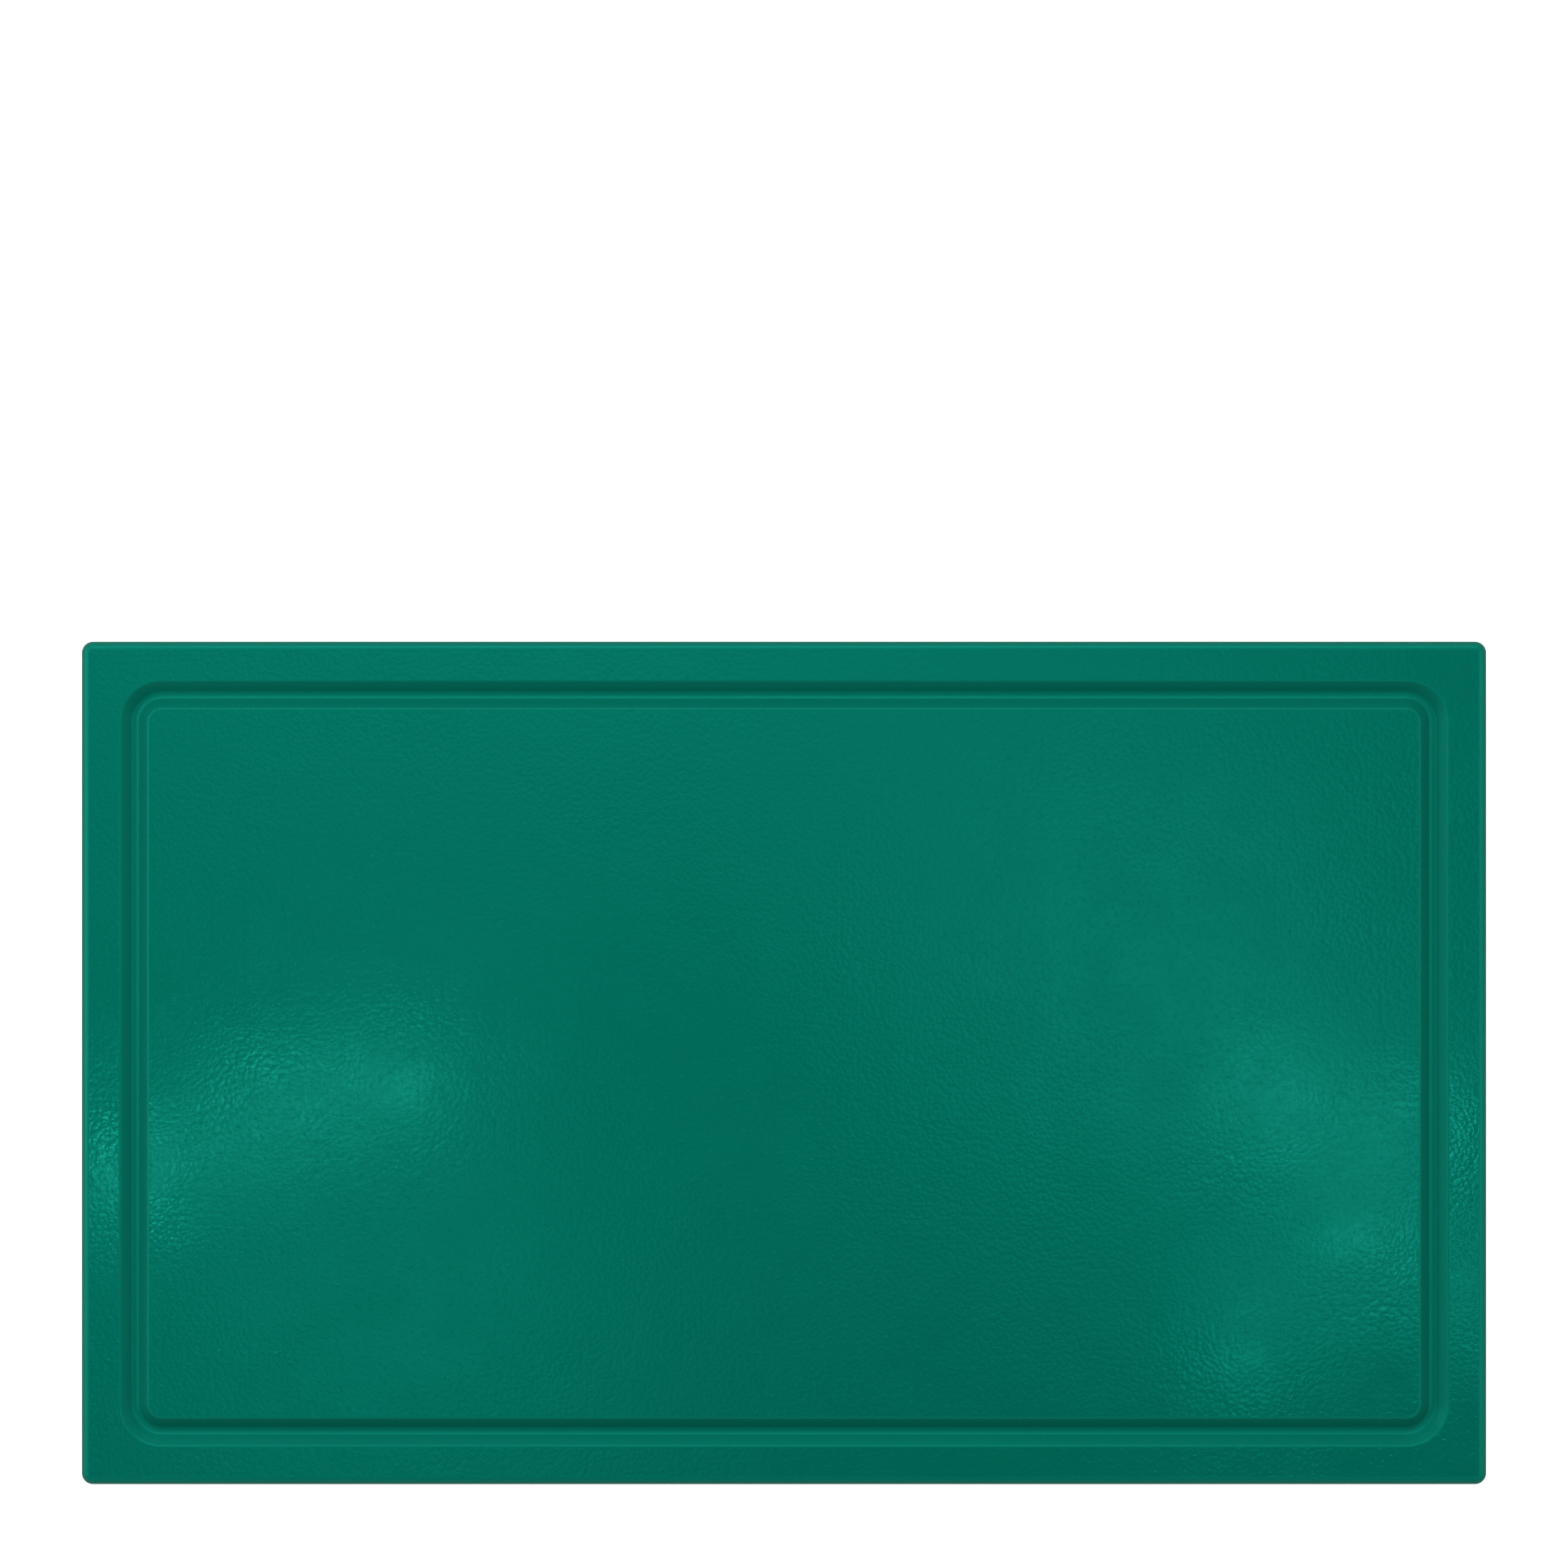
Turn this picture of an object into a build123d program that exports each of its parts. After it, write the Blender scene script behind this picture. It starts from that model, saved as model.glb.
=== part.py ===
"""Catering cutting board with a juice groove and four push-in anti-slip feet.

Units are millimetres. The origin is the centre of the footprint on the surface that the feet
stand on, with +X along the board's length, +Y along its width and +Z up through the cutting face.
"""

from build123d import *

import os
from math import cos, radians, sin

# Slab
BOARD_LENGTH = 500.0
BOARD_WIDTH = 300.0
BOARD_THICKNESS = 20.0
CORNER_RADIUS = 4.0  # of the outline, seen from above
EDGE_ROUNDING = 3.0  # of the long edges round the top and the underside

# Juice groove all round the cutting face: sloping walls, a round bottom and rounded lips
GROOVE_INSET = 19.0  # from the board's side to the groove's centre line
GROOVE_HALF_WIDTH = 5.3  # from the centre line to where a lip meets the flat
GROOVE_WALL_ANGLE = 45.0  # from the cutting face down to a wall
GROOVE_BOTTOM_RADIUS = 2.3
GROOVE_LIP_RADIUS = 1.0
GROOVE_TURN_RADIUS = 9.8  # of the centre line at each corner
CUTTER_RISE = 1.0  # how far the groove's cutting profile stands above the face

# Anti-slip feet, each a soft pad with a ribbed stem that pushes into a blind hole
FOOT_HEIGHT = 5.0  # from the bench to the slab's underside
FOOT_INSET = 42.0  # from both of the slab's sides to the foot's axis
PAD_RADIUS = 11.0
PAD_FOOT_ROUNDING = 1.0  # of the lower rim
PAD_TOP_ROUNDING = 0.6
PAD_TAPER = 0.8  # how much smaller the pad is where it meets the slab
TREAD_GROOVE_INNER_RADIUS = 6.8
TREAD_GROOVE_OUTER_RADIUS = 8.0
TREAD_GROOVE_DEPTH = 0.8
HOLLOW_RADIUS = 4.2  # at the hollow's mouth, in the tread
HOLLOW_TOP_RADIUS = 2.0
HOLLOW_DEPTH = 1.4
STEM_RADIUS = 3.8
STEM_LENGTH = 9.0
STEM_TIP_CHAMFER = 0.9
RIB_REACH = 0.65  # from the stem's surface to a rib's crest
RIB_COUNT = 3
RIB_PITCH = 2.4
FIRST_RIB_HEIGHT = 1.6  # from the pad to the first rib's lower edge
RIB_CREST_LENGTH = 0.5
RIB_RAMP_LENGTH = 0.8
RIB_CLEARANCE = 0.05  # from a rib's crest to the wall of its hole

# Blind holes for the feet
HOLE_RADIUS = STEM_RADIUS + RIB_REACH + RIB_CLEARANCE
HOLE_DEPTH = 10.0
HOLE_MOUTH_CHAMFER = 0.6

UNDERSIDE = FOOT_HEIGHT
CUTTING_FACE = UNDERSIDE + BOARD_THICKNESS
FOOT_X = BOARD_LENGTH / 2 - FOOT_INSET
FOOT_Y = BOARD_WIDTH / 2 - FOOT_INSET
FOOT_PLACES = {
    "foot_front_left": (-FOOT_X, -FOOT_Y),
    "foot_front_right": (FOOT_X, -FOOT_Y),
    "foot_back_left": (-FOOT_X, FOOT_Y),
    "foot_back_right": (FOOT_X, FOOT_Y),
}


def keep(part, label):
    """Labels a finished piece and writes it as parts/LABEL.step."""
    part.label = label
    export_step(part, f"parts/{label}.step")


def make_board():
    """The slab, with its groove in the cutting face and its blind holes in the underside."""
    path_length = BOARD_LENGTH - 2 * GROOVE_INSET
    path_width = BOARD_WIDTH - 2 * GROOVE_INSET
    # This plane stands across the middle of the path's front run.
    groove_start = (0, -path_width / 2, CUTTING_FACE)
    cutter_plane = Plane(origin=groove_start, x_dir=(0, 1, 0), z_dir=(1, 0, 0))
    half, slope = GROOVE_HALF_WIDTH, GROOVE_WALL_ANGLE
    rounded_width = (GROOVE_LIP_RADIUS + GROOVE_BOTTOM_RADIUS) * sin(radians(slope))
    wall_length = (half - rounded_width) / cos(radians(slope))

    with BuildPart() as board:
        with BuildSketch(Plane.XY.offset(UNDERSIDE)):
            RectangleRounded(BOARD_LENGTH, BOARD_WIDTH, CORNER_RADIUS)
        extrude(amount=BOARD_THICKNESS)
        rims = board.faces().filter_by(Axis.Z).edges()
        fillet(rims, EDGE_ROUNDING)

        with BuildSketch(Plane.XY.offset(CUTTING_FACE), mode=Mode.PRIVATE) as path:
            RectangleRounded(path_length, path_width, GROOVE_TURN_RADIUS)
        with BuildSketch(cutter_plane) as cutter:
            with BuildLine():
                lip = JernArc((half, 0), (-1, 0), GROOVE_LIP_RADIUS, slope)
                wall = PolarLine(lip @ 1, wall_length, direction=lip % 1)
                bottom = JernArc(wall @ 1, wall % 1, GROOVE_BOTTOM_RADIUS, -2 * slope)
                far_wall = PolarLine(bottom @ 1, wall_length, direction=bottom % 1)
                far_lip = JernArc(far_wall @ 1, far_wall % 1, GROOVE_LIP_RADIUS, slope)
                Polyline(far_lip @ 1, (-half, CUTTER_RISE), (half, CUTTER_RISE), (half, 0))
            make_face()
        sweep(sections=cutter.sketch, path=path.wire(), mode=Mode.SUBTRACT)

        with BuildSketch(Plane.XY.offset(UNDERSIDE)):
            with Locations(*FOOT_PLACES.values()):
                Circle(HOLE_RADIUS)
        extrude(amount=HOLE_DEPTH, mode=Mode.SUBTRACT)
        mouths = board.edges().filter_by(GeomType.CIRCLE).group_by(Axis.Z)[0]
        hole_mouths = [e for e in mouths if abs(e.radius - HOLE_RADIUS) < 0.01]
        chamfer(hole_mouths, HOLE_MOUTH_CHAMFER)
    return board.part


def make_foot(x, y):
    """One foot at rest: its tread on the bench, its pad against the slab, its stem in the hole."""
    rib_radius = STEM_RADIUS + RIB_REACH
    stem_top = FOOT_HEIGHT + STEM_LENGTH
    pad_top_radius = PAD_RADIUS - PAD_TAPER

    ribbed_side = []
    for rib in range(RIB_COUNT):
        low = FOOT_HEIGHT + FIRST_RIB_HEIGHT + rib * RIB_PITCH
        ribbed_side += [
            (STEM_RADIUS, low),
            (rib_radius, low),
            (rib_radius, low + RIB_CREST_LENGTH),
            (STEM_RADIUS, low + RIB_CREST_LENGTH + RIB_RAMP_LENGTH),
        ]

    upright_plane = Plane(origin=(x, y, 0), x_dir=(1, 0, 0), z_dir=(0, -1, 0))
    with BuildPart() as foot:
        with BuildSketch(upright_plane) as half_section:
            with BuildLine():
                Polyline(
                    (0, HOLLOW_DEPTH),
                    (HOLLOW_TOP_RADIUS, HOLLOW_DEPTH),
                    (HOLLOW_RADIUS, 0),
                    (TREAD_GROOVE_INNER_RADIUS, 0),
                    (TREAD_GROOVE_INNER_RADIUS, TREAD_GROOVE_DEPTH),
                    (TREAD_GROOVE_OUTER_RADIUS, TREAD_GROOVE_DEPTH),
                    (TREAD_GROOVE_OUTER_RADIUS, 0),
                    (PAD_RADIUS, 0),
                    (pad_top_radius, FOOT_HEIGHT),
                    (STEM_RADIUS, FOOT_HEIGHT),
                    *ribbed_side,
                    (STEM_RADIUS, stem_top - STEM_TIP_CHAMFER),
                    (STEM_RADIUS - STEM_TIP_CHAMFER, stem_top),
                    (0, stem_top),
                    close=True,
                )
            make_face()
            rim = half_section.vertices().sort_by(Axis.X)[-1]
            fillet(rim, PAD_FOOT_ROUNDING)
        revolve(axis=Axis((x, y, 0), (0, 0, 1)))
        pad_tops = foot.edges().filter_by(GeomType.CIRCLE).filter_by_position(
            Axis.Z, FOOT_HEIGHT - 0.01, FOOT_HEIGHT + 0.01
        )
        fillet(pad_tops.sort_by(SortBy.RADIUS)[-1], PAD_TOP_ROUNDING)
    return foot.part


os.makedirs("parts", exist_ok=True)
keep(make_board(), "board")
for foot_name, place in FOOT_PLACES.items():
    keep(make_foot(*place), foot_name)
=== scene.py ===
"""Looks of a green catering cutting board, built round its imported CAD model.

The slab is rebuilt as one fine mesh with the CAD model's own dimensions. The four feet are the CAD
nodes with a better material. Everything is in metres, in the CAD frame.
"""

import math

import bmesh
import bpy
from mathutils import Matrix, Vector, noise


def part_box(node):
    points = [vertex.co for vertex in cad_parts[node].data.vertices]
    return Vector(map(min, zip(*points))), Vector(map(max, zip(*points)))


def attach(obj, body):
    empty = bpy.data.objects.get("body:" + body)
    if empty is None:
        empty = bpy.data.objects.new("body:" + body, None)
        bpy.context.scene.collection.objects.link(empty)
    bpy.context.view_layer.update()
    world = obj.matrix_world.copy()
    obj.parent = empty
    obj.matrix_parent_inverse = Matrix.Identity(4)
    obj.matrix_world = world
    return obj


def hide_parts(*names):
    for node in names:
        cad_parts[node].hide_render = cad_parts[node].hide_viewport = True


MM = 0.001

# The slab, as in the CAD source
CORNER_RADIUS = 4.0 * MM
EDGE_ROUNDING = 3.0 * MM
GROOVE_INSET = 19.0 * MM
GROOVE_HALF_WIDTH = 5.3 * MM
GROOVE_WALL_ANGLE = 45.0
GROOVE_BOTTOM_RADIUS = 2.3 * MM
GROOVE_LIP_RADIUS = 1.0 * MM
GROOVE_TURN_RADIUS = 9.8 * MM
RIM_INSET = GROOVE_INSET - GROOVE_HALF_WIDTH  # where the rim's flat ends and the groove starts
PANEL_INSET = GROOVE_INSET + GROOVE_HALF_WIDTH  # where the groove ends and the panel starts
HOLE_RADIUS = 4.5 * MM
HOLE_DEPTH = 10.0 * MM
HOLE_MOUTH_CHAMFER = 0.6 * MM

# How the slab's mesh is divided: numbers of steps, unless a length is given
CORNER_STEPS = 14
END_STEPS = 6  # from a corner to the fine block round the nearest hole
BLOCK_STEPS = 10  # along each side of that block
LONG_MIDDLE_STEPS = 64
SHORT_MIDDLE_STEPS = 32
LIP_STEPS = 8
BOTTOM_STEPS = 16
WALL_SHARES = (0.04, 0.35, 0.65, 0.96)  # where a groove wall is divided
EDGE_STEPS = 10
SIDE_STEPS = 4
HOLE_BLOCK = 8.0 * MM  # half the block's side
SUPPORT = 0.15 * MM  # from a rounding to the ring that keeps the flat beside it flat
SHARP_ANGLE = 40.0  # edges sharper than this aren't shaded smooth

# Slow unevenness of the moulded top face
WARP_HEIGHT = 0.05 * MM  # half of its range
WARP_LENGTH = 90.0 * MM
WARP_SEED = 4.2
WARPED_DEPTH = 10.0 * MM  # how far below the top the mesh follows it

# Materials. Noise scales are in features per metre, and levels are of a noise from 0 to 1.
NOISE_DETAIL = 3.0
NOISE_LEVELS = (0.3, 0.7)  # between which most of a noise lies

# Board plastic
GRAIN_PITCH = 1.7 * MM
GRAIN_SMOOTHNESS = 0.5
GRAIN_HEIGHT = 0.028 * MM
GRAIN_BEND = 1.1 * MM  # how far the outlines of the grain's pebbles wander
GRAIN_BEND_SCALE = 420.0
RIPPLE_SCALE = 900.0  # fine ripple on the pebbles
RIPPLE_SHARE = 0.35
CREASE_SCALE = 520.0  # sparse raised creases between them
CREASE_LEVELS = (0.60, 0.68)
CREASE_SHARE = 0.7
PATCH_SCALE = 30.0  # patches where the grain is fainter or stronger
PATCH_LEVELS = (0.35, 0.65)
PATCH_STRENGTH = (0.65, 1.1)
SWELL_SCALE = 22.0  # slow swells that make the sheen uneven
SWELL_HEIGHT = 0.12 * MM
CLOUD_SCALE = 9.0  # slow changes of colour
MOULDED_COLOURS = (0.0001, 0.113, 0.078, 1), (0.0002, 0.121, 0.084, 1)
# Groove, lips, edges, sides and holes: lighter than the faces, partly as a machined finish and partly
# as painted light that lifts the shade in the groove
SMOOTH_COLOURS_WITH_PAINTED_LIGHT = (0.0001, 0.122, 0.085, 1), (0.0002, 0.130, 0.091, 1)
SMUDGE_SCALE = 60.0  # changes of gloss
FACE_ROUGHNESS = (0.12, 0.16)
GROOVE_ROUGHNESS = 0.26  # added to the faces'
SIDE_ROUGHNESS = 0.22  # added to the faces'
PLASTIC_IOR = 1.5
PLASTIC_SHEEN_TINT = (0.03, 1.0, 0.76, 1)

# Foot rubber
SPECK_SCALE = 2600.0  # fine matt texture
SPECK_ROUGHNESS = 0.6  # of the noise, from smooth to busy
SPECK_HEIGHT = 0.04 * MM
RUBBER_CLOUD_SCALE = 240.0
RUBBER_COLOURS = (0.022, 0.023, 0.024, 1), (0.038, 0.040, 0.041, 1)
RUBBER_ROUGHNESS = (0.55, 0.75)

# Room round the studio: brightness, and the upward parts of the direction where walls end and
# ceiling starts
WALL_LIGHT = 0.6
CEILING_LIGHT = 0.05
WALL_TOP = 0.7
CEILING_EDGE = 0.9
GLOWS = (  # on the ceiling: centre and half size in x and y of the direction, then brightness
    ((0.10, -0.055), (0.12, 0.105), 2.1),
    ((-0.10, 0.11), (0.25, 0.23), 1.5),
    ((0.07, 0.13), (0.25, 0.23), 0.85),
    ((-0.10, -0.14), (0.11, 0.11), 1.5),
)
SOFTBOXES = {  # place, size and power of each; they face the middle of the board
    "window": ((-0.85, 0.1, 0.62), (0.8, 0.6), 3.9),
    "back": ((0.0, 1.1, 1.1), (1.2, 0.8), 9.6),
    "right": ((0.95, 0.0, 1.0), (0.8, 0.8), 3.9),
    "corner": ((-0.8, 0.8, 1.0), (0.8, 0.8), 1.3),
}
LAMP_HEIGHT = 1.02
LAMP_SIZE = 0.03
LAMPS = (  # x, y and power of each small lamp overhead
    (-0.41, -0.14, 0.068),
    (-0.32, -0.10, 0.050),
    (-0.24, -0.085, 0.040),
    (0.40, -0.12, 0.044),
    (0.31, -0.10, 0.040),
    (0.36, -0.19, 0.042),
    (0.44, -0.225, 0.035),
    (0.29, -0.25, 0.030),
)

FLOOR_HALF = 6.0
FLOOR_GREY = 0.42
FLOOR_ROUGHNESS = 0.9
FLOOR_GLOW = 0.8  # only towards the camera, so that the floor is plain white there

# Camera: straight down, with the board in the lower part of a square frame
LENS = 85.0
SENSOR = 36.0
CAMERA_Y = 0.0993
FRAME_WIDTH = 0.5584  # at the height where the slab's sides are widest

FEET = ("foot_front_left", "foot_front_right", "foot_back_left", "foot_back_right")

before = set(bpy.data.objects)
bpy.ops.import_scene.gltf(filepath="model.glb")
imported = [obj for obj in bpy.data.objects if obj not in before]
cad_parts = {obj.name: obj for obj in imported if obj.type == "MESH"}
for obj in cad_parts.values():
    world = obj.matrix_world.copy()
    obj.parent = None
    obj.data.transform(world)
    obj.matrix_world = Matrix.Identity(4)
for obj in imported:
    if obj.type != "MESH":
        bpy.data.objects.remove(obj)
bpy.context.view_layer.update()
slab_low, slab_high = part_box("board")
HALF_LENGTH = (slab_high.x - slab_low.x) / 2
HALF_WIDTH = (slab_high.y - slab_low.y) / 2
TOP = slab_high.z
UNDERSIDE = slab_low.z
foot_low, foot_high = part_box("foot_back_right")
FOOT_X = (foot_low.x + foot_high.x) / 2
FOOT_Y = (foot_low.y + foot_high.y) / 2


# ---------------------------------------------------------------- slab's mesh


def arc(centre, radius, start, end, steps):
    """Points (inset, z) along an arc, both ends included; angles in degrees from +inset."""
    points = []
    for i in range(steps + 1):
        angle = math.radians(start + (end - start) * i / steps)
        points.append((centre[0] + radius * math.cos(angle), centre[1] + radius * math.sin(angle)))
    return points


def along(start, end):
    """Points (inset, z) that divide a groove wall."""
    points = []
    for share in WALL_SHARES:
        points.append((start[0] + (end[0] - start[0]) * share, start[1] + (end[1] - start[1]) * share))
    return points


def groove_section():
    """The section (inset, z) of the groove from the rim to the panel: lip, wall, bottom, wall, lip."""
    slope = math.radians(GROOVE_WALL_ANGLE)
    rounded = GROOVE_LIP_RADIUS + GROOVE_BOTTOM_RADIUS
    wall_drop = (GROOVE_HALF_WIDTH - rounded * math.sin(slope)) * math.tan(slope)
    depth = wall_drop + rounded * (1 - math.cos(slope))
    lip_z = TOP - GROOVE_LIP_RADIUS
    bottom_z = TOP - depth + GROOVE_BOTTOM_RADIUS
    lip_angle, bottom_angle = 90 - GROOVE_WALL_ANGLE, 270 - GROOVE_WALL_ANGLE
    outer = arc((RIM_INSET, lip_z), GROOVE_LIP_RADIUS, 90, lip_angle, LIP_STEPS)
    bottom = arc(
        (GROOVE_INSET, bottom_z), GROOVE_BOTTOM_RADIUS, bottom_angle, 540 - bottom_angle, BOTTOM_STEPS
    )
    inner = arc((PANEL_INSET, lip_z), GROOVE_LIP_RADIUS, 180 - lip_angle, 90, LIP_STEPS)
    return outer, along(outer[-1], bottom[0]), bottom, along(bottom[-1], inner[0]), inner


def corner_radius(inset):
    """Corner radius of the outline at an inset: the slab's own, the groove's, or one in between."""
    at_groove = GROOVE_INSET + GROOVE_TURN_RADIUS - RIM_INSET
    at_edge = CORNER_RADIUS - EDGE_ROUNDING
    if inset <= EDGE_ROUNDING:
        return CORNER_RADIUS - inset
    if inset >= RIM_INSET:
        return GROOVE_INSET + GROOVE_TURN_RADIUS - inset
    share = (inset - EDGE_ROUNDING) / (RIM_INSET - EDGE_ROUNDING)
    return at_edge + (at_groove - at_edge) * share


def stations(half_side, foot_place, middle_steps):
    """Places along a side, as shares from -1 to 1, closer together across from each hole."""
    spans = (
        (-half_side, -foot_place - HOLE_BLOCK, END_STEPS),
        (-foot_place - HOLE_BLOCK, -foot_place + HOLE_BLOCK, BLOCK_STEPS),
        (-foot_place + HOLE_BLOCK, foot_place - HOLE_BLOCK, middle_steps),
        (foot_place - HOLE_BLOCK, foot_place + HOLE_BLOCK, BLOCK_STEPS),
        (foot_place + HOLE_BLOCK, half_side, END_STEPS),
    )
    places = []
    for start, end, steps in spans:
        places += [start + (end - start) * i / steps for i in range(steps)]
    return [place / half_side for place in places] + [1.0]


def corner_centre(inset):
    """Centre of the outline's back right corner at an inset."""
    radius = corner_radius(inset)
    return HALF_LENGTH - inset - radius, HALF_WIDTH - inset - radius


FLAT_INSET = EDGE_ROUNDING + SUPPORT
X_SHARES = stations(corner_centre(FLAT_INSET)[0], FOOT_X, LONG_MIDDLE_STEPS)
Y_SHARES = stations(corner_centre(FLAT_INSET)[1], FOOT_Y, SHORT_MIDDLE_STEPS)


def outline(inset):
    """Points of the rounded rectangle at an inset, anticlockwise from the right side's back end."""
    radius = corner_radius(inset)
    x, y = corner_centre(inset)
    back = [(-x * share, y + radius) for share in X_SHARES[:-1]]
    left = [(-x - radius, -y * share) for share in Y_SHARES[:-1]]
    front = [(x * share, -y - radius) for share in X_SHARES[:-1]]
    right = [(x + radius, y * share) for share in Y_SHARES[:-1]]
    corners = [(x, y, 0), (-x, y, 90), (-x, -y, 180), (x, -y, 270)]
    points = []
    for (cx, cy, start), side in zip(corners, (back, left, front, right)):
        for i in range(CORNER_STEPS):
            angle = math.radians(start + 90 * i / CORNER_STEPS)
            points.append((cx + radius * math.cos(angle), cy + radius * math.sin(angle)))
        points += side
    return points


def slab_section():
    """The slab's section (inset, z, finish) from the panel, over the rim, to the underside."""
    outer_lip, outer_wall, bottom, inner_wall, inner_lip = groove_section()
    section = [(PANEL_INSET + SUPPORT, TOP, "grain")]
    groove = outer_lip + outer_wall + bottom + inner_wall + inner_lip
    section += [(inset, z, "groove") for inset, z in groove[::-1]]
    rim_width = RIM_INSET - EDGE_ROUNDING
    for inset in (
        RIM_INSET - SUPPORT,
        RIM_INSET - rim_width / 3,
        RIM_INSET - rim_width * 2 / 3,
        FLAT_INSET,
    ):
        section.append((inset, TOP, "grain"))
    edge_z = TOP - EDGE_ROUNDING
    foot_z = UNDERSIDE + EDGE_ROUNDING
    edge = arc((EDGE_ROUNDING, edge_z), EDGE_ROUNDING, 90, 180, EDGE_STEPS)
    section += [(inset, z, "side") for inset, z in edge]
    for i in range(SIDE_STEPS + 1):
        z = edge_z - SUPPORT + (foot_z - edge_z + 2 * SUPPORT) * i / SIDE_STEPS
        section.append((0.0, z, "side"))
    edge = arc((EDGE_ROUNDING, foot_z), EDGE_ROUNDING, 180, 270, EDGE_STEPS)
    section += [(inset, z, "side") for inset, z in edge]
    section.append((FLAT_INSET, UNDERSIDE, "grain"))
    return section


def warp(x, y):
    """Slow unevenness of the moulded top face, never above the CAD model's face."""
    return WARP_HEIGHT * (noise.noise(Vector((x / WARP_LENGTH, y / WARP_LENGTH, WARP_SEED))) - 1)


class SlabMesh:
    """The slab's mesh while it is made; each vertex says which finish the surface has there."""

    def __init__(self):
        self.mesh = bmesh.new()
        layers = self.mesh.verts.layers.float
        self.layers = {name: layers.new(name) for name in ("grain", "groove", "side")}

    def vertex(self, x, y, z, finish):
        """A new vertex; near the top it follows the face's unevenness."""
        lift = warp(x, y) if z > TOP - WARPED_DEPTH else 0.0
        made = self.mesh.verts.new((x, y, z + lift))
        if finish:
            made[self.layers[finish]] = 1.0
        return made

    def bridge(self, first, second):
        """Quads between two closed rings with the same number of points."""
        for i in range(len(first)):
            j = (i + 1) % len(first)
            self.mesh.faces.new((first[i], second[i], second[j], first[j]))

    def fill(self, ring, inset, z, holes):
        """The face inside a ring: a grid, a strip of quads round it and a fan in each corner."""
        x_end, y_end = corner_centre(inset)
        grid = [[self.vertex(x_end * u, y_end * v, z, "grain") for u in X_SHARES] for v in Y_SHARES]
        starts = {}
        if holes:
            last_x = len(X_SHARES) - 1 - END_STEPS - BLOCK_STEPS
            last_y = len(Y_SHARES) - 1 - END_STEPS - BLOCK_STEPS
            for i in (END_STEPS, last_x):
                for j in (END_STEPS, last_y):
                    starts[i, j] = self.block_edge(grid, i, j)
        for j, (lower, upper) in enumerate(zip(grid, grid[1:])):
            for i in range(len(lower) - 1):
                if not any(a <= i < a + BLOCK_STEPS and b <= j < b + BLOCK_STEPS for a, b in starts):
                    self.mesh.faces.new((lower[i], lower[i + 1], upper[i + 1], upper[i]))
        for edge in starts.values():
            self.hole(edge)
        for j in range(1, BLOCK_STEPS):
            for a, b in starts:
                for i in range(1, BLOCK_STEPS):
                    self.mesh.verts.remove(grid[b + j][a + i])

        left, right = [row[0] for row in grid], [row[-1] for row in grid]
        at = 0
        for border in (grid[-1][::-1], left[::-1], grid[0], right):
            for i in range(CORNER_STEPS):
                self.mesh.faces.new((border[0], ring[at + i], ring[at + i + 1]))
            at += CORNER_STEPS
            for i in range(len(border) - 1):
                after = ring[(at + i + 1) % len(ring)]
                self.mesh.faces.new((border[i], ring[at + i], after, border[i + 1]))
            at += len(border) - 1

    def block_edge(self, grid, i, j):
        """The grid's points round the block that starts at (i, j), anticlockwise."""
        n = BLOCK_STEPS
        front = [grid[j][i + k] for k in range(n)]
        right = [grid[j + k][i + n] for k in range(n)]
        back = [grid[j + n][i + n - k] for k in range(n)]
        left = [grid[j + n - k][i] for k in range(n)]
        return front + right + back + left

    def hole(self, edge):
        """A blind hole up into the underside, in the middle of a block."""
        x = (edge[0].co.x + edge[2 * BLOCK_STEPS].co.x) / 2
        y = (edge[0].co.y + edge[2 * BLOCK_STEPS].co.y) / 2
        mouth = HOLE_RADIUS + HOLE_MOUTH_CHAMFER
        rings = [edge]
        for radius, height, finish in (
            (mouth + SUPPORT, 0.0, "grain"),
            (mouth, 0.0, ""),
            (HOLE_RADIUS, HOLE_MOUTH_CHAMFER, ""),
            (HOLE_RADIUS, HOLE_DEPTH, ""),
        ):
            ring = []
            for k in range(len(edge)):
                angle = math.radians(-135 + 360 * k / len(edge))
                place = (x + radius * math.cos(angle), y + radius * math.sin(angle))
                ring.append(self.vertex(*place, UNDERSIDE + height, finish))
            rings.append(ring)
        for outer, inner in zip(rings, rings[1:]):
            self.bridge(outer, inner)
        self.mesh.faces.new(rings[-1])


def build_slab():
    """The slab as one closed mesh, named slab."""
    made = SlabMesh()
    rings = []
    for inset, z, finish in slab_section():
        rings.append([made.vertex(x, y, z, finish) for x, y in outline(inset)])
    for upper, lower in zip(rings, rings[1:]):
        made.bridge(upper, lower)
    made.fill(rings[0], PANEL_INSET + SUPPORT, TOP, holes=False)
    made.fill(rings[-1], FLAT_INSET, UNDERSIDE, holes=True)
    bmesh.ops.recalc_face_normals(made.mesh, faces=made.mesh.faces)

    data = bpy.data.meshes.new("slab")
    made.mesh.to_mesh(data)
    made.mesh.free()
    data.shade_smooth()
    data.set_sharp_from_angle(angle=math.radians(SHARP_ANGLE))
    slab = bpy.data.objects.new("slab", data)
    bpy.context.scene.collection.objects.link(slab)
    return slab


# ---------------------------------------------------------------- materials


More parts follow.
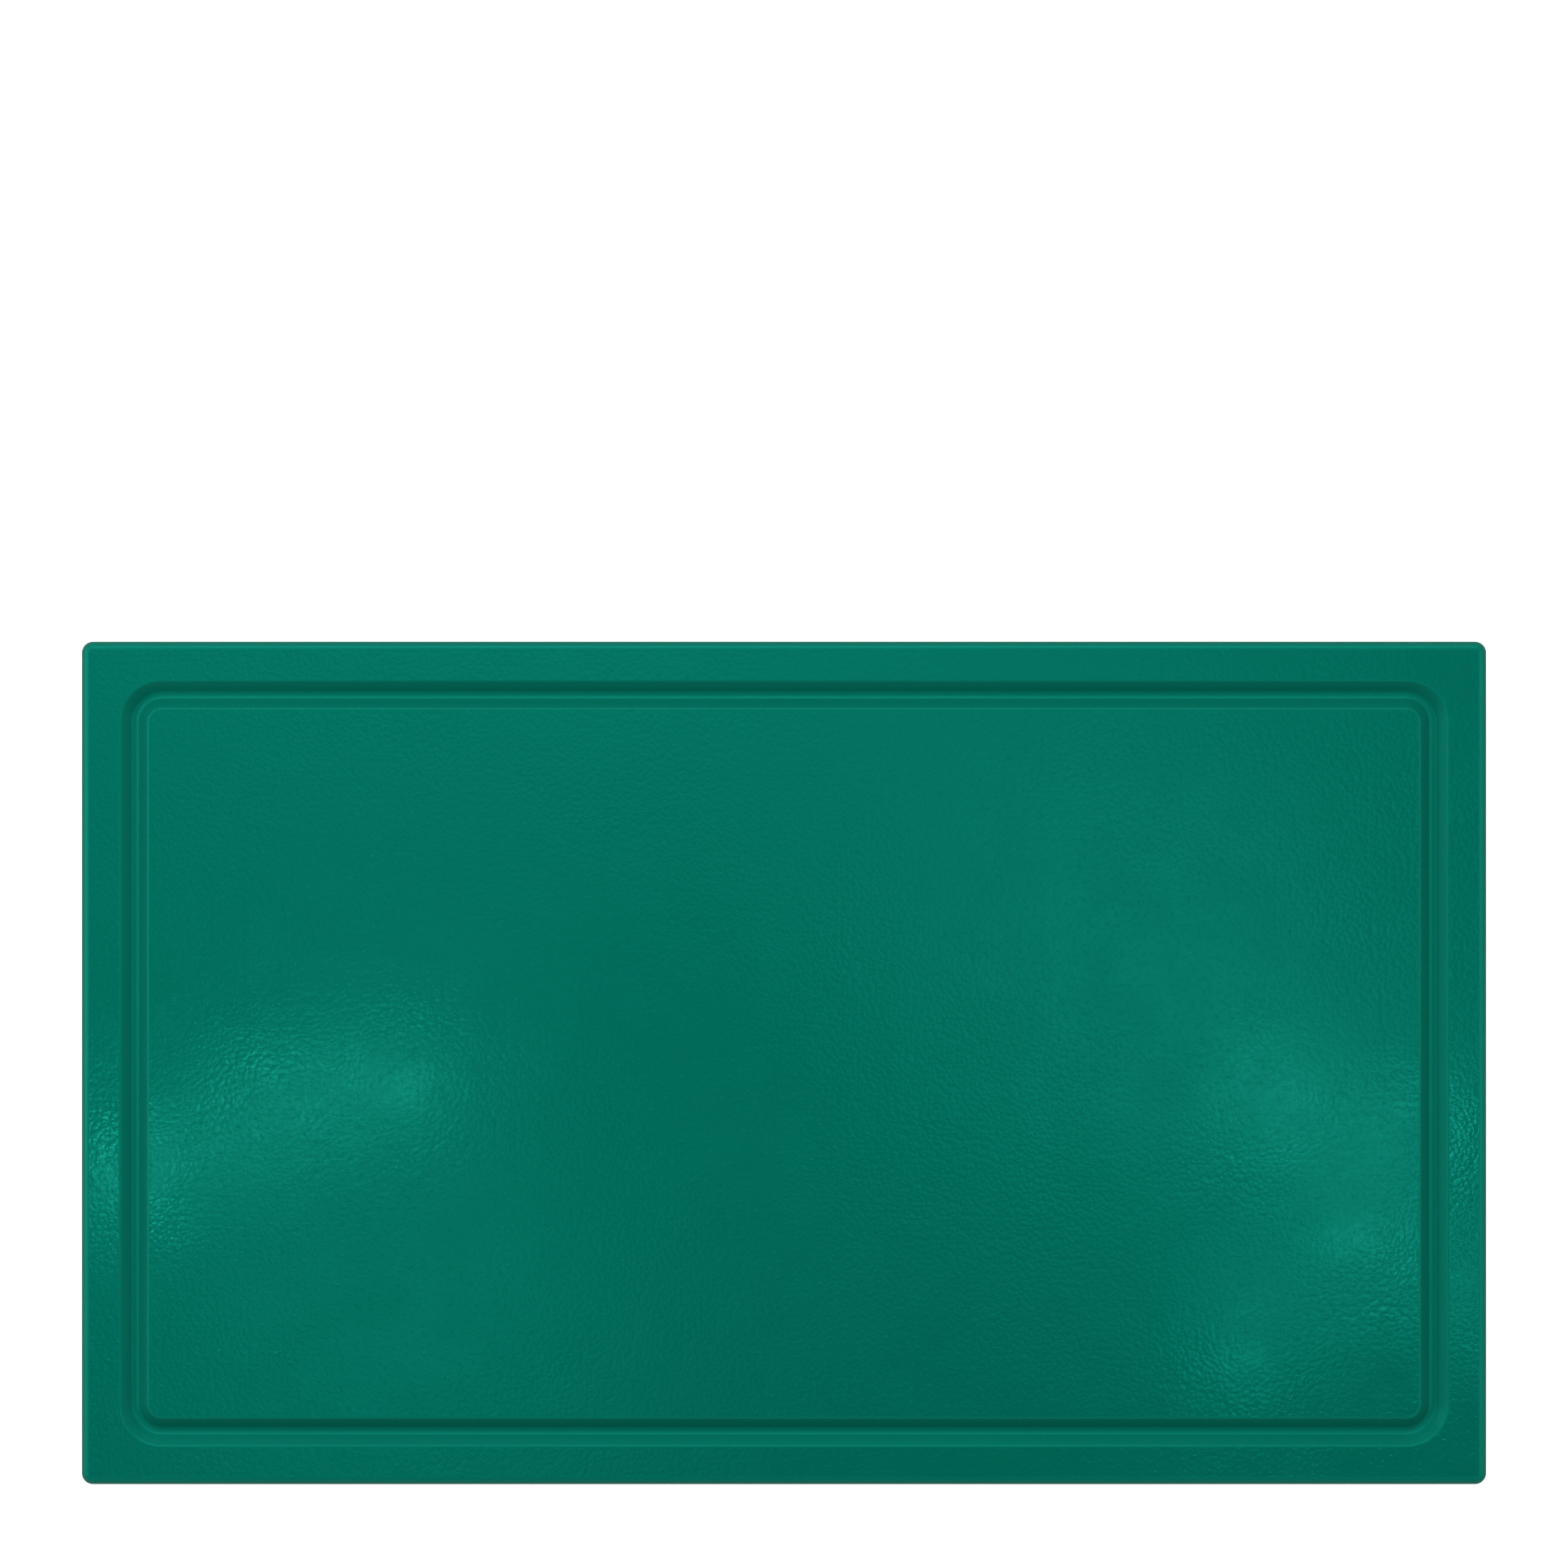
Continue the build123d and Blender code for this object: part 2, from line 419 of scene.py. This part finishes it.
class Tree:
    """A node tree, with one short call for each node and its links."""

    def __init__(self, tree):
        self.tree = tree

    def add(self, kind, inputs=None, **settings):
        """A new node; each of its inputs is given as a value or as the output that feeds it."""
        node = self.tree.nodes.new(kind)
        for key, value in settings.items():
            setattr(node, key, value)
        for key, value in (inputs or {}).items():
            self.set(node.inputs[key], value)
        return node

    def set(self, socket, value):
        """Gives an input its value, or links it to the output that feeds it."""
        if isinstance(value, bpy.types.NodeSocket):
            self.tree.links.new(value, socket)
        else:
            socket.default_value = value

    def math(self, operation, a, b=0.0):
        return self.add("ShaderNodeMath", {0: a, 1: b}, operation=operation).outputs[0]

    def vector(self, operation, inputs):
        return self.add("ShaderNodeVectorMath", inputs, operation=operation).outputs[0]

    def ramp(self, value, low, high, to_low=0.0, to_high=1.0):
        """A smooth step between two levels as the value goes from low to high."""
        node = self.add(
            "ShaderNodeMapRange",
            {"Value": value, "From Min": low, "From Max": high, "To Min": to_low, "To Max": to_high},
            interpolation_type="SMOOTHSTEP",
        )
        return node.outputs["Result"]

    def noise(self, place, scale, detail=2.0, roughness=0.5):
        node = self.add(
            "ShaderNodeTexNoise",
            {"Vector": place, "Scale": scale, "Detail": detail, "Roughness": roughness},
        )
        return node.outputs["Fac"]

    def bump(self, height, distance, normal=None):
        """The normal of a relief, on top of another relief's normal where one is given."""
        inputs = {"Height": height, "Distance": distance, "Strength": 1.0}
        if normal is not None:
            inputs["Normal"] = normal
        return self.add("ShaderNodeBump", inputs).outputs["Normal"]

    def mix(self, factor, a, b):
        """A mix of two colours; a Mix node's colour sockets are its inputs 6 and 7, and output 2."""
        inputs = {"Factor": factor, 6: a, 7: b}
        return self.add("ShaderNodeMix", inputs, data_type="RGBA").outputs[2]


class Material(Tree):
    """A new material's tree, with its Principled shader."""

    def __init__(self, name):
        self.material = bpy.data.materials.new(name)
        self.material.use_nodes = True
        super().__init__(self.material.node_tree)
        self.shader = self.tree.nodes["Principled BSDF"]

    def attribute(self, name):
        """How much of a finish the surface has, from the mesh's layer of that name."""
        return self.add("ShaderNodeAttribute", attribute_name=name).outputs["Fac"]


def leather_grain(n, place):
    """Height of the embossed grain: pebbles whose outlines are bent by a noise."""
    bend = n.add("ShaderNodeTexNoise", {"Vector": place, "Scale": GRAIN_BEND_SCALE, "Detail": 2.0})
    shift = n.vector("SUBTRACT", {0: bend.outputs["Color"], 1: (0.5, 0.5, 0.5)})
    shift = n.vector("SCALE", {0: shift, "Scale": GRAIN_BEND})
    bent = n.vector("ADD", {0: place, 1: shift})
    pebble = n.add(
        "ShaderNodeTexVoronoi",
        {"Vector": bent, "Scale": 1 / GRAIN_PITCH, "Smoothness": GRAIN_SMOOTHNESS},
        feature="SMOOTH_F1",
        voronoi_dimensions="2D",
    ).outputs["Distance"]
    ripple = n.math("MULTIPLY", n.noise(place, RIPPLE_SCALE, 1.0), RIPPLE_SHARE)
    crease = n.ramp(n.noise(bent, CREASE_SCALE, 1.0), *CREASE_LEVELS, 0.0, CREASE_SHARE)
    relief = n.math("ADD", n.math("SUBTRACT", ripple, pebble), crease)
    patch = n.ramp(n.noise(place, PATCH_SCALE), *PATCH_LEVELS, *PATCH_STRENGTH)
    return n.math("MULTIPLY", relief, patch)


def board_plastic():
    """Moulded polyethylene: leather-grained faces; groove and edges without grain, in a lighter colour
    that is partly a machined finish and partly painted light that lifts the shade in the groove.
    """
    n = Material("board_plastic")
    place = n.add("ShaderNodeTexCoord").outputs["Object"]

    on_faces = n.attribute("grain")
    normal = n.bump(n.noise(place, SWELL_SCALE), SWELL_HEIGHT)
    grain = n.math("MULTIPLY", leather_grain(n, place), on_faces)
    n.set(n.shader.inputs["Normal"], n.bump(grain, GRAIN_HEIGHT, normal))

    cloud = n.noise(place, CLOUD_SCALE, NOISE_DETAIL)
    moulded = n.mix(cloud, *MOULDED_COLOURS)
    # the lighter colour off the grained faces is partly painted light, lifting the shade in the groove
    smooth = n.mix(cloud, *SMOOTH_COLOURS_WITH_PAINTED_LIGHT)
    n.set(n.shader.inputs["Base Color"], n.mix(on_faces, smooth, moulded))

    smudge = n.noise(place, SMUDGE_SCALE, NOISE_DETAIL)
    rough = n.ramp(smudge, *NOISE_LEVELS, *FACE_ROUGHNESS)
    for finish, extra in (("groove", GROOVE_ROUGHNESS), ("side", SIDE_ROUGHNESS)):
        rough = n.math("ADD", rough, n.math("MULTIPLY", n.attribute(finish), extra))
    n.set(n.shader.inputs["Roughness"], rough)
    n.shader.inputs["IOR"].default_value = PLASTIC_IOR
    n.shader.inputs["Specular Tint"].default_value = PLASTIC_SHEEN_TINT
    return n.material


def foot_rubber():
    """Dark grey moulded rubber with a fine matt texture."""
    n = Material("foot_rubber")
    place = n.add("ShaderNodeTexCoord").outputs["Object"]
    speck = n.noise(place, SPECK_SCALE, NOISE_DETAIL, SPECK_ROUGHNESS)
    cloud = n.noise(place, RUBBER_CLOUD_SCALE, NOISE_DETAIL)
    n.set(n.shader.inputs["Base Color"], n.mix(cloud, *RUBBER_COLOURS))
    n.set(n.shader.inputs["Roughness"], n.ramp(speck, *NOISE_LEVELS, *RUBBER_ROUGHNESS))
    n.set(n.shader.inputs["Normal"], n.bump(speck, SPECK_HEIGHT))
    return n.material


# ---------------------------------------------------------------- pieces

slab = build_slab()
slab.data.materials.append(board_plastic())
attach(slab, "slab")
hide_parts("board")

rubber = foot_rubber()
for foot in FEET:
    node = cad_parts[foot]
    node.data.materials.clear()
    node.data.materials.append(rubber)


# ---------------------------------------------------------------- studio


def build_floor():
    """A plain pale floor at the height that the feet stand on."""
    half = FLOOR_HALF
    data = bpy.data.meshes.new("floor")
    data.from_pydata(
        [(-half, -half, 0), (half, -half, 0), (half, half, 0), (-half, half, 0)],
        [],
        [(0, 1, 2, 3)],
    )
    floor = bpy.data.objects.new("floor", data)
    bpy.context.scene.collection.objects.link(floor)
    n = Material("floor")
    n.shader.inputs["Base Color"].default_value = (FLOOR_GREY, FLOOR_GREY, FLOOR_GREY, 1)
    n.shader.inputs["Roughness"].default_value = FLOOR_ROUGHNESS
    n.shader.inputs["Specular IOR Level"].default_value = 0.0
    n.shader.inputs["Emission Color"].default_value = (1, 1, 1, 1)
    seen = n.add("ShaderNodeLightPath").outputs["Is Camera Ray"]
    n.set(n.shader.inputs["Emission Strength"], n.math("MULTIPLY", seen, FLOOR_GLOW))
    data.materials.append(n.material)


def area_light(name, place, aim, size, power):
    """A rectangular light that the camera doesn't see, aimed at a point."""
    data = bpy.data.lights.new(name, "AREA")
    data.shape = "RECTANGLE"
    data.size, data.size_y = size
    data.energy = power
    light = bpy.data.objects.new(name, data)
    light.location = place
    light.rotation_mode = "QUATERNION"
    light.rotation_quaternion = (Vector(aim) - Vector(place)).to_track_quat("-Z", "Y")
    light.visible_camera = False
    bpy.context.scene.collection.objects.link(light)


def build_lights():
    """Softboxes for the light on the board, and lamps facing straight down that make it glint."""
    for name, (place, size, power) in SOFTBOXES.items():
        area_light(name, place, (0.0, 0.0, TOP), size, power)
    for number, (x, y, power) in enumerate(LAMPS):
        area_light(f"lamp_{number}", (x, y, LAMP_HEIGHT), (x, y, 0.0), (LAMP_SIZE, LAMP_SIZE), power)


def build_world():
    """A room with pale walls and soft glows on a dim ceiling, seen against plain white."""
    world = bpy.data.worlds.new("room")
    world.use_nodes = True
    bpy.context.scene.world = world
    n = Tree(world.node_tree)
    direction = n.add("ShaderNodeTexCoord").outputs["Generated"]
    height = n.add("ShaderNodeSeparateXYZ", {0: direction}).outputs["Z"]
    room = n.ramp(height, WALL_TOP, CEILING_EDGE, WALL_LIGHT, CEILING_LIGHT)
    for centre, size, strength in GLOWS:
        offset = n.vector("SUBTRACT", {0: direction, 1: (*centre, 0.0)})
        offset = n.vector("MULTIPLY", {0: offset, 1: (1 / size[0], 1 / size[1], 0.0)})
        distance = n.add("ShaderNodeVectorMath", {0: offset}, operation="LENGTH").outputs["Value"]
        room = n.math("ADD", room, n.ramp(distance, 0.0, 1.0, strength, 0.0))
    seen = n.add("ShaderNodeLightPath").outputs["Is Camera Ray"]
    background = world.node_tree.nodes["Background"]
    background.inputs["Color"].default_value = (1, 1, 1, 1)
    n.set(background.inputs["Strength"], n.math("MAXIMUM", room, seen))


def build_camera():
    """The camera, looking straight down."""
    widest = TOP - EDGE_ROUNDING
    data = bpy.data.cameras.new("camera")
    data.lens = LENS
    data.sensor_width = SENSOR
    camera = bpy.data.objects.new("camera", data)
    camera.location = (0.0, CAMERA_Y, widest + FRAME_WIDTH * LENS / SENSOR)
    bpy.context.scene.collection.objects.link(camera)
    bpy.context.scene.camera = camera


build_floor()
build_world()
build_camera()
build_lights()
bpy.context.scene.view_settings.view_transform = "Standard"
